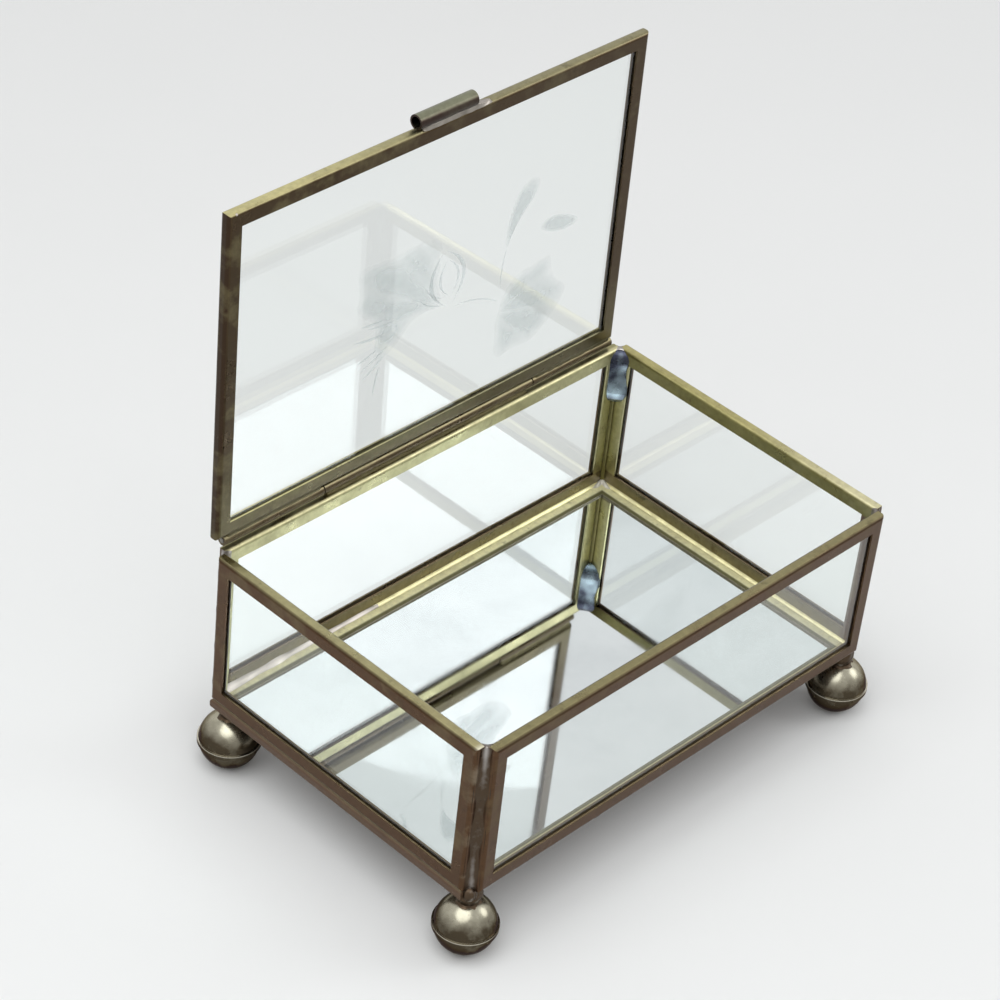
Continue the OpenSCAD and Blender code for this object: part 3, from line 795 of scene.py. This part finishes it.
class CASKET_OT_floor_seams(bpy.types.Operator):
    """Runs the seams under the walls, and the fillets and the tack on the floor inside"""

    bl_idname = "casket.floor_seams"
    bl_label = "Floor seams"

    def execute(self, context):
        seed = settings().seed + 200
        w, d = CASKET[:2]
        end = PANEL + 0.35
        runs = {
            "front": ((end, 0, -FLOOR), (1, 0, 0), w - 2 * end, (0, 1, 0)),
            "back": ((end, d, -FLOOR), (1, 0, 0), w - 2 * end, (0, -1, 0)),
            "right": ((w, end, -FLOOR), (0, 1, 0), d - 2 * end, (-1, 0, 0)),
        }
        for n, (name, (start, way, length, a_way)) in enumerate(runs.items()):
            s = close_ended(length, int(length * 2.2), 0.7)
            section = notch_rings(s, length, seed + 20 * n, lambda x: np.full_like(x, 0.45))
            rings = along(start, way, s, a_way, (0, 0, 1), section)
            # The inner face is painted in the floor ledge's lit colour, painted light over the shade in
            # the crease
            inside = np.zeros(section.shape[:2])
            inside[:, OUTER_POINTS:] = 1
            solder_piece(
                f"floor_solder_{name}", [rings], inside, "ledge_lit_solder",
                replaced=[f"floor_seam_{name}"])

        broad = settings().solder.fillet
        back_run = 43.0
        fillets = {
            "left": (
                (0, end, -FLOOR), (0, 1, 0), d - 2 * end, (1, 0, 0),
                lambda x: np.full_like(x, 0.6), 0.4, "floor_fillet_left"),
            "back": (
                (3.6, d, -FLOOR), (1, 0, 0), back_run, (0, -1, 0),
                lambda x: broad * (1.35 - 0.95 * x / back_run), 0.8, "floor_fillet_back"),
        }
        for n, (name, row) in enumerate(fillets.items()):
            start, way, length, a_way, width, fresh, node = row
            s = close_ended(length, int(length * 3), 0.8)
            wave = 13.0 if name == "back" else 5.0
            section = fillet_rings(s, length, seed + 100 + 20 * n, width, PANEL, FLOOR, wave=wave)
            rings = along(start, way, s, a_way, (0, 0, 1), section)
            cloud = ripple(seed + 160 + n, (s,), 9)[:, None] + 0 * section[..., 0]
            kind = "fresh_solder" if name == "back" else "hand_solder"
            shine = np.clip(fresh + 0.25 * cloud, 0, 1)
            solder_piece(f"floor_fillet_solder_{name}", [rings], shine, kind, replaced=[node])

        # The tack is a low mound: its height falls away from the corner as a bell does, and a
        # ripple makes its reach and its top uneven
        r, turn = np.meshgrid(np.linspace(0, 1, 14), np.linspace(0, math.pi / 2, 16), indexing="ij")
        reach = 2.7 * (1 + 0.28 * ripple(seed + 300, (4 * np.cos(turn), 4 * np.sin(turn)), 3))
        top = 0.8 * np.exp(-2.2 * r**2) * (1 - r**4) - 0.05
        a = PANEL - 0.05 + r * reach * np.cos(turn)
        b = PANEL - 0.05 + r * reach * np.sin(turn)
        upper = np.stack([w - a, d - b, top + 0.06 * ripple(seed + 310, (a, b), 1.6) * (1 - r)], -1)
        lower = upper.copy()
        lower[..., 2] = -0.12
        rings = np.concatenate([upper, lower[:, ::-1]], 1)
        solder_piece(
            "floor_tack_solder", [rings], 0.7, "tack_solder", replaced=["floor_tack_back_right"])
        return {"FINISHED"}


class CASKET_OT_foot_necks(bpy.types.Operator):
    """Puts a blob of solder between each foot and the floor"""

    bl_idname = "casket.foot_necks"
    bl_label = "Foot necks"

    def execute(self, context):
        # The blob is turned from these heights and radii, from inside the corner's notch down
        # on to the ball, and a ripple makes its radius and its foot uneven
        heights = [-0.3, -0.45, -0.9, -1.7, -2.5, -3.0, -3.5, -4.0, -4.35, -4.7, -5.0, -4.9, -4.4]
        radii = [0.4, 1.7, 2.2, 2.5, 2.65, 2.45, 2.25, 2.15, 2.3, 2.7, 2.6, 1.8, 0.4]
        t = np.arange(len(heights))
        fine = np.linspace(0, len(heights) - 1, 45)
        z = np.interp(fine, t, heights)[:, None]
        r = np.interp(fine, t, radii)[:, None]
        turn = np.linspace(0, 2 * math.pi, 49)[None, :-1]
        for n, (name, (right, back)) in enumerate(CORNERS.items()):
            x0 = CASKET[0] - FOOT_INSET if right else FOOT_INSET
            y0 = CASKET[1] - FOOT_INSET if back else FOOT_INSET
            if name == "back_left":
                y0 -= BACK_LEFT_FOOT_SHIFT
            seed = settings().seed + 600 + 20 * n
            lump = ripple(seed, (3 * np.cos(turn) + 0 * z, 3 * np.sin(turn) + 0 * z, 1.5 * z), 4.5)
            grown = r * (1 + 0.07 * lump)
            foot_wave = 0.2 * ripple(seed + 5, (4 * np.cos(turn), 4 * np.sin(turn)), 4)
            sink = np.where(z < -4.2, foot_wave, 0)
            rings = np.stack([
                x0 + grown * np.cos(turn), y0 + grown * np.sin(turn), z + sink + 0 * turn], -1)
            parts = [rings]
            # Painted glints where the lumps stand out most
            shine = [np.clip(1.6 * lump - 1.5, 0, 0.8).ravel()]
            if name == "front_left":
                # A plug of the same solder closes the gap under the walls' front left corner:
                # an upright oval with its two ends cut off, made uneven by a ripple
                inset = 2.05
                middle = -1.25
                rise = middle + np.linspace(-1.75, 1.75, 15)[:, None]
                grow = 1.5 * np.sqrt(np.clip(1 - ((rise - middle) / 1.8) ** 2, 0.01, 1))
                spot = (3 * np.cos(turn) + 0 * rise, 3 * np.sin(turn) + 0 * rise, rise + 0 * turn)
                grow = grow * (1 + 0.13 * ripple(seed + 9, spot, 2.6))
                parts.append(np.stack([
                    inset + grow * np.cos(turn), inset + grow * np.sin(turn), rise + 0 * turn], -1))
                # Painted glints on the plug where its ripple is high
                shine.append(np.clip(1.6 * ripple(seed + 11, spot, 2.5) - 0.5, 0, 1).ravel())
            solder_piece(
                f"foot_solder_{name}", parts, np.concatenate(shine), replaced=[f"foot_neck_{name}"])
        return {"FINISHED"}


class CASKET_OT_hinge(bpy.types.Operator):
    """Gives the hinge tubes and wire their finish, and runs the solder that holds them"""

    bl_idname = "casket.hinge"
    bl_label = "Hinge"

    def execute(self, context):
        s = settings().brass
        # Painted light: a lighter top and a darker side colour on the hinge tubes
        tube = aged_brass_with_painted_light("aged_tube_painted_light", rgb(158, 150, 116), rgb(88, 76, 58), s.tarnish[:])
        give([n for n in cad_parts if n.startswith("hinge_knuckle")], tube)
        wire = Finish("dull_wire", Metallic=1.0)
        wire.color(wire.blend(wire.noise(0.8, 4), linear(rgb(96, 92, 86)), linear(rgb(150, 147, 142))))
        wire.roughness(wire.spread(wire.noise(0.5, 3, seed=1), 0.3, 0.7, 0.28, 0.5))
        give(["hinge_pin"], wire.material)

        seed = settings().seed + 800
        x0, x1 = MIDDLE_KNUCKLE
        length = x1 - x0 - 2
        x = close_ended(length, 130, 0.6)
        end = rounded_ends(x, length, 0.6)
        lump = [ripple(seed + k, (x,), 5.0) for k in range(4)]
        # Both faces run from the wall's top up to the tube, and bow in. They meet the tube at an
        # angle in degrees from its lowest line, and stand out by lean at their feet.
        meets = 34
        foot = np.full_like(x, CASKET[2] - 0.2)
        grip = KNUCKLE_R - HINGE_GRIP
        spots = []
        for side, lean in ((-1, 0.95), (1, 0.5)):
            turn = np.radians(-90 + side * (meets + 3 * lump[0]))
            tube_y = grip * np.cos(turn) * (0.5 + 0.5 * end)
            tube_z = HINGE_Z + grip * np.sin(turn)
            low = np.stack([side * (lean + 0.05 * lump[1]) * (0.5 + 0.5 * end), foot], -1)
            high = np.stack([tube_y, CASKET[2] + (tube_z - CASKET[2]) * end], -1)
            spots.append((low, high))
        left = arc_between(spots[0][0], spots[0][1], np.full_like(x, -0.08), 8)
        right = arc_between(spots[1][1], spots[1][0], np.full_like(x, -0.08), 8)
        section = np.concatenate([left, right], 1)
        rings = along((x0 + 1, HINGE_Y, 0), (1, 0, 0), x, (0, 1, 0), (0, 0, 1), section)
        solder_piece(
            "hinge_solder_middle", [rings], 0.16, "hinge_solder", replaced=["hinge_bead_middle"])

        for n, (name, (x0, x1)) in enumerate((("left", LEFT_KNUCKLE), ("right", RIGHT_KNUCKLE))):
            length = x1 - x0 - 1.2
            x = close_ended(length, 70, 0.6)
            end = rounded_ends(x, length, 0.6)
            lump = [ripple(seed + 50 + 20 * n + k, (x,), 4.0) for k in range(4)]
            lid_edge = np.full_like(x, LID_Y[1] - 0.1)
            # Both faces run from inside the tube's skin to the lid's edge, and bow in. They meet
            # the tube at an angle in degrees from the side that looks away from the lid.
            meets = 128
            spots = []
            for side in (-1, 1):
                turn = np.radians(side * (meets + 3 * lump[0]))
                tube_y = HINGE_Y + grip * np.cos(turn)
                tube_z = HINGE_Z + grip * np.sin(turn) * (0.4 + 0.6 * end)
                edge_z = LID_Z + side * (0.85 + 0.05 * lump[1]) * (0.4 + 0.6 * end)
                spots.append((np.stack([tube_y, tube_z], -1), np.stack([lid_edge, edge_z], -1)))
            under = arc_between(spots[0][1], spots[0][0], np.full_like(x, 0.1), 9)
            over = arc_between(spots[1][0], spots[1][1], np.full_like(x, 0.1), 9)
            section = np.concatenate([under, over], 1)
            rings = along((x0 + 0.6, 0, 0), (1, 0, 0), x, (0, 1, 0), (0, 0, 1), section)
            solder_piece(
                f"hinge_solder_{name}", [swing(rings)], 0.18, "hinge_solder", "lid",
                [f"hinge_bead_{name}"])
        return {"FINISHED"}


class CASKET_OT_handle(bpy.types.Operator):
    """Gives the rolled handle its brass and the bead of solder under it"""

    bl_idname = "casket.handle"
    bl_label = "Handle"

    def execute(self, context):
        s = settings().brass
        # Painted light: a lighter top and a darker side colour on the handle
        give(["handle_tube"], aged_brass_with_painted_light(
            "rubbed_handle_painted_light", rgb(130, 131, 110), rgb(62, 51, 46), s.tarnish[:], (0.26, 0.42)))
        seed = settings().seed + 900
        start = 1.2
        length = HANDLE_X[1] - HANDLE_X[0] - start + 4.2
        x = close_ended(length, 90, 2.0)
        end = rounded_ends(x, length, 2.0)
        tail = np.clip((x - (length - 3.6)) / 2.0, 0, 1)
        tail = tail * tail * (3 - 2 * tail)
        lump = [ripple(seed + k, (x,), 6.0) for k in range(4)]
        # Its section has four corners: on the handle, on the lid's lower flange, up inside the
        # joint, and on top of it. Past the handle's right end it becomes a thinner tail.
        on_tube = np.stack([
            HANDLE_Y + 1.0 + 0.05 * lump[0] + 0.5 * tail,
            LID_Z - (1.22 + 0.05 * lump[1]) * (0.25 + 0.75 * end) + 0.3 * tail], -1)
        on_lid = np.stack([
            LID_Y[0] + (0.42 + 0.08 * lump[2]) * (0.3 + 0.7 * end),
            np.full_like(x, LID_Z - PANEL / 2 + 0.05)], -1)
        inside = np.stack([np.full_like(x, LID_Y[0] + 0.35), LID_Z + 0.55 * end], -1)
        crown = np.stack([
            HANDLE_Y + 1.35 + 0.35 * tail, LID_Z + (0.7 + 0.05 * lump[3]) * end - 0.15 * tail], -1)
        face = arc_between(on_tube, on_lid, 0.05 + 0.03 * lump[3], 10)
        core = arc_between(inside, crown, 0 * x, 5)
        section = np.concatenate([face, core], 1)
        rings = along((HANDLE_X[0] + start, 0, 0), (1, 0, 0), x, (0, 1, 0), (0, 0, 1), section)
        gleam = (0.3 + 0.3 * tail + 0.2 * lump[2])[:, None] + 0 * section[..., 0]
        solder_piece("handle_solder", [swing(rings)], gleam, "fresh_solder", "lid", ["handle_bead"])

        # A drop of bright solder on the lid's front left corner, a ball drawn out along the rail: it
        # paints the glint on that corner
        radius = 0.42
        turn = np.linspace(0, 2 * math.pi, 25)[None, :-1]
        rise = np.linspace(-0.5, 0.5, 9)[:, None]
        grow = radius * np.sqrt(np.clip(1 - (rise / 0.52) ** 2, 0.02, 1))
        drop = np.stack([
            LID_X[0] + 1.9 + 1.3 * grow * np.cos(turn), LID_Y[0] + 0.55 + grow * np.sin(turn),
            LID_Z - PANEL / 2 + 0.5 + 0.9 * rise + 0 * turn], -1)
        solder_piece("lid_corner_glint_solder", [swing(drop)], 0.7, "fresh_solder", "lid")
        return {"FINISHED"}


# Where the points of a cut stroke lie, along it and round it: over its face, then back under
ALONG_STROKE = np.linspace(0.004, 0.996, 34)
OVER_STROKE = np.linspace(-1, 1, 11)
ROUND_STROKE = np.concatenate([OVER_STROKE, OVER_STROKE[::-1][1:-1]])


def on_lid(plan, lift):
    """Points on the lid's glass, from lid coordinates, x from its left edge and u from its
    back, and how far they stand above where the cuts start, all in millimetres."""
    return np.stack([
        LID_X[0] + plan[..., 0], LID_Y[1] - plan[..., 1], CUT_START + lift + 0 * plan[..., 0]], -1)


def stroke(start, finish, width, sway, height, seed):
    """One fine cut on the lid, as rings in millimetres, in lid coordinates. It runs from start
    to finish, bowed by sway as a parabola; its half width is a sine along it to the power 0.8,
    and its face rises by 1 less the eighth power of how far across it is."""
    t = ALONG_STROKE
    start, finish = np.asarray(start, float), np.asarray(finish, float)
    way = finish - start
    side = np.array([-way[1], way[0]]) / np.linalg.norm(way)
    rib = start + t[:, None] * way + (4 * sway * t * (1 - t))[:, None] * side
    half = width / 2 * np.sin(math.pi * t) ** 0.8
    half = half * (1 + 0.05 * ripple(seed, (12 * t,), 5))
    rise = np.where(np.arange(len(ROUND_STROKE)) < len(OVER_STROKE), 1 - np.abs(ROUND_STROKE) ** 8, 0)
    taper = np.clip(half / (0.25 * width), 0, 1)
    plan = rib[:, None, :] + (half[:, None] * ROUND_STROKE[None, :])[..., None] * side
    return on_lid(plan, height * taper[:, None] * rise[None, :])


def stroke_softness():
    """How solid a stroke is at each of its points: 1 along its middle, and 0 at its edges and
    ends, by 1 less the power 1.8 of how far across, and straight ramps towards its ends."""
    t = ALONG_STROKE[:, None]
    ramps = np.clip(np.minimum(t / 0.4, (1 - t) / 0.15), 0, 1)
    return (1 - np.abs(ROUND_STROKE[None, :]) ** 1.8) * ramps


def haze(points, eye, petals, height, seed):
    """One broad frosted patch on the lid, as rings in millimetres, and how solid it is at each
    point. Its outline's points go round it with the patch on their left; each corner is cut
    three times, and the line is ruffled a little. Rings run from the middle out over the top face,
    which rises by 1 - t squared, then back under it. It is solid by 1 - t to the fourth, and
    fainter by the cosine of petals times the angle round its eye, so that petals show."""
    edge = np.array(points, float)
    for _ in range(3):
        after = np.roll(edge, -1, axis=0)
        edge = np.stack([0.75 * edge + 0.25 * after, 0.25 * edge + 0.75 * after], 1).reshape(-1, 2)
    middle = edge.mean(axis=0)
    edge = middle + (edge - middle) * (1 + 0.02 * ripple(seed, (edge[:, 0], edge[:, 1]), 4))[:, None]
    out = np.linspace(0.03, 1, 14)
    t = np.concatenate([out, out[::-1][1:]])[:, None]
    lift = np.where(np.arange(len(t))[:, None] < len(out), height * (1 - t**2), 0.0)
    plan = middle + t[..., None] * (edge - middle)
    turn = np.arctan2(plan[..., 1] - eye[1], plan[..., 0] - eye[0])
    return on_lid(plan, lift), (1 - t**4) * (0.66 + 0.34 * np.abs(np.cos(petals * turn)))


# The cut spray, in lid coordinates. Each patch has its eye, how many petals a half turn round
# the eye would hold, and its outline. Each stroke has its start, finish, sway and width.
PATCHES = (
    ((60, 28.5), 9, (
        (59, 29), (57, 36), (58, 47), (51, 47.5), (44, 46.5), (34, 48.5),
        (36, 41), (34.5, 37), (41, 33), (40, 22), (45, 24), (52, 30.5))),
    ((74, 21), 6, (
        (97, 19), (91, 23), (90, 30), (84.7, 28.8), (78.5, 28.5), (75.6, 23),
        (74.6, 17.5), (75.5, 8.4), (80, 10), (85.6, 9), (91, 12))),
    ((76, 35), 0, (
        (76, 35), (77.5, 39), (80.5, 43), (84, 46.5), (84.5, 50.5), (80, 50.5), (77, 46), (75.6, 40))),
    ((85, 37.5), 0, ((85, 37.5), (88.5, 34.8), (95, 33.5), (98, 35), (93, 38), (88, 39))),
)
FAN_RAYS = (
    ((44.5, 29.4), (34.6, 30.6), 0.3, 0.6),
    ((43.0, 33.0), (36.5, 33.6), 0.2, 0.45),
    ((42.0, 26.8), (35.9, 25.0), 0.2, 0.5),
    ((43.5, 24.5), (37.5, 20.5), 0.3, 0.5),
    ((42.5, 22.5), (41.0, 15.5), -0.3, 0.5),
    ((45.5, 31.5), (38.5, 32.4), 0.2, 0.35),
    ((44.6, 26.5), (36.8, 22.8), 0.3, 0.4),
)
BUD_STROKES = (
    ((60.8, 28.5), (58.2, 42.5), 4.2, 1.1),
    ((61.2, 28.5), (58.6, 42.5), -4.4, 1.1),
    ((60.9, 31.0), (59.5, 40.0), 2.4, 0.7),
    ((61.1, 31.0), (59.7, 40.0), -2.4, 0.7),
    ((59.6, 29.4), (51.5, 34.2), 0.9, 0.4),
    ((59.2, 31.2), (53.5, 36.0), 0.8, 0.35),
)
STEMS = (
    ((61.5, 28.0), (75.5, 23.5), 1.2, 0.4),
    ((75.6, 26.5), (76.4, 36.0), 0.5, 0.4),
)


class CASKET_OT_cut_spray(bpy.types.Operator):
    """Cuts a traditional spray of petals, leaves and fine rays in the lid's glass"""

    bl_idname = "casket.cut_spray"
    bl_label = "Cut spray"

    def execute(self, context):
        s = settings().glass
        seed = settings().seed + 1000
        patches = [
            haze(outline, eye, petals, 0.5 * s.relief, seed + n)
            for n, (eye, petals, outline) in enumerate(PATCHES)]
        piece = solid("lid_cut_petals", [swing(rings) for rings, soft in patches])
        point_value(piece, "soft", np.concatenate([soft.ravel() for rings, soft in patches]))
        frost = Finish("frosted_cut", IOR=1.5)
        grain = frost.noise(0.25, 3, 0.6)
        cloud = frost.noise(7, 4, 0.55, seed=6)
        frost.color(frost.blend(cloud, linear(WHITE_FROST), linear(s.frost[:])))
        frost.roughness(frost.spread(grain, 0.3, 0.7, 0.5, 0.75))
        frost.bump(grain, 0.02, 0.5)
        edge = frost.value("soft")
        alpha = frost.math("MULTIPLY", edge, frost.spread(cloud, 0.3, 0.7, 0.3, 0.46))
        frost.link(alpha, frost.shader.inputs["Alpha"])
        dress(piece, frost.material, "lid")

        fine = [
            stroke(start, finish, width, sway, 1.6 * s.relief, seed + 80 + n)
            for n, (start, finish, sway, width) in enumerate(FAN_RAYS + BUD_STROKES + STEMS)]
        piece = solid("lid_cut_rays", [swing(rings) for rings in fine])
        point_value(piece, "soft", np.tile(stroke_softness().ravel(), len(fine)))
        bright = Finish("bright_cut", IOR=1.5)
        tone = bright.noise(0.8, 3)
        bright.color(bright.blend(tone, linear(rgb(238, 242, 242)), linear(rgb(250, 252, 252))))
        bright.roughness(bright.spread(tone, 0.3, 0.7, 0.3, 0.5))
        edge = bright.value("soft")
        bright.link(bright.spread(edge, 0.0, 0.6, 0.0, 0.7), bright.shader.inputs["Alpha"])
        dress(piece, bright.material, "lid")
        return {"FINISHED"}


# How far the camera looks to the right of straight back, how far down, and its roll, in
# degrees, and its place in metres
CAMERA_ANGLES = (49.18, 37.50, 6.62)
CAMERA_PLACE = (-0.39815, -0.32771, 0.45389)


class CASKET_OT_stage(bpy.types.Operator):
    """Makes the pale floor, the soft lights, the plain surround and the camera"""

    bl_idname = "casket.stage"
    bl_label = "Stage"

    def execute(self, context):
        s = settings().stage
        scene = bpy.context.scene
        scene.view_settings.view_transform = "Standard"

        edge = np.array([[-3, -3, 0], [3, -3, 0], [3, 3, 0], [-3, 3, 0]], float)
        table = new_mesh("stage_floor", edge, [[0, 1, 2, 3]], smooth=False)
        paper = Finish("stage_paper", Roughness=0.8)
        tone = paper.noise(60, 3, 0.5)
        paper.color(paper.blend(tone, linear(s.floor[:]), linear([c + 3 / 255 for c in s.floor])))
        table.data.materials.append(paper.material)

        world = bpy.data.worlds.new("stage_world")
        scene.world = world
        world.use_nodes = True
        tree = world.node_tree
        tree.nodes.clear()
        lit, seen = (tree.nodes.new("ShaderNodeBackground") for _ in range(2))
        lit.inputs["Color"].default_value = (0.97, 0.985, 1, 1)
        lit.inputs["Strength"].default_value = s.fill
        seen.inputs["Color"].default_value = (1, 1, 1, 1)
        seen.inputs["Strength"].default_value = 1.0
        path = tree.nodes.new("ShaderNodeLightPath")
        # Plain white to the camera, in mirrors and through glass, and the soft light elsewhere
        share = path.outputs["Is Camera Ray"]
        for ray in ("Is Glossy Ray", "Is Transmission Ray"):
            either = tree.nodes.new("ShaderNodeMath")
            either.operation = "MAXIMUM"
            tree.links.new(share, either.inputs[0])
            tree.links.new(path.outputs[ray], either.inputs[1])
            share = either.outputs[0]
        mix = tree.nodes.new("ShaderNodeMixShader")
        out = tree.nodes.new("ShaderNodeOutputWorld")
        for n, source in enumerate((share, lit.outputs[0], seen.outputs[0])):
            tree.links.new(source, mix.inputs[n])
        tree.links.new(mix.outputs[0], out.inputs["Surface"])

        lamps = (
            ("key_lamp", (-0.35, -0.1, 0.75), 0.8, s.key),
            ("fill_lamp", (0.6, -0.45, 0.5), 0.45, s.key * 0.35),
        )
        aim = Vector((0, 0, 0.04))
        for name, spot, size, power in lamps:
            lamp = bpy.data.lights.new(name, "AREA")
            lamp.shape = "DISK"
            lamp.size = size
            lamp.energy = power
            lamp.color = (0.95, 0.98, 1.0)
            holder = bpy.data.objects.new(name, lamp)
            scene.collection.objects.link(holder)
            holder.location = spot
            way = aim - Vector(spot)
            holder.rotation_euler = way.to_track_quat("-Z", "Y").to_euler()

        camera = bpy.data.cameras.new("camera")
        camera.sensor_width = 36
        camera.lens = s.lens
        camera.clip_start = 0.01
        camera.clip_end = 20
        holder = bpy.data.objects.new("camera", camera)
        scene.collection.objects.link(holder)
        az, el, roll = (math.radians(angle) for angle in CAMERA_ANGLES)
        ahead = Vector((math.sin(az) * math.cos(el), math.cos(az) * math.cos(el), -math.sin(el)))
        level = Vector((math.cos(az), -math.sin(az), 0))
        above = level.cross(ahead)
        right = math.cos(roll) * level + math.sin(roll) * above
        up = -math.sin(roll) * level + math.cos(roll) * above
        turn = Matrix((right, up, -ahead)).transposed().to_4x4()
        holder.matrix_world = Matrix.Translation(Vector(CAMERA_PLACE)) @ turn
        scene.camera = holder
        return {"FINISHED"}


STEPS = (
    CASKET_OT_channels,
    CASKET_OT_panes,
    CASKET_OT_feet,
    CASKET_OT_corner_seams,
    CASKET_OT_floor_seams,
    CASKET_OT_foot_necks,
    CASKET_OT_hinge,
    CASKET_OT_handle,
    CASKET_OT_cut_spray,
    CASKET_OT_stage,
)


class CASKET_PT_panel(bpy.types.Panel):
    """Lists the casket's steps"""

    bl_idname = "CASKET_PT_panel"
    bl_label = "Glass casket box"
    bl_space_type = "VIEW_3D"
    bl_region_type = "UI"
    bl_category = "Casket"

    def draw(self, context):
        for step in STEPS:
            self.layout.operator(step.bl_idname)


GROUPS = (BrassSettings, SolderSettings, GlassSettings, StageSettings, CasketSettings)


def register():
    for kind in GROUPS + STEPS + (CASKET_PT_panel,):
        bpy.utils.register_class(kind)
    bpy.types.Scene.casket = PointerProperty(type=CasketSettings)


def unregister():
    del bpy.types.Scene.casket
    for kind in reversed(GROUPS + STEPS + (CASKET_PT_panel,)):
        bpy.utils.unregister_class(kind)


def main():
    register()
    for step in STEPS:
        group, name = step.bl_idname.split(".")
        getattr(getattr(bpy.ops, group), name)()


if __name__ == "__main__":
    main()
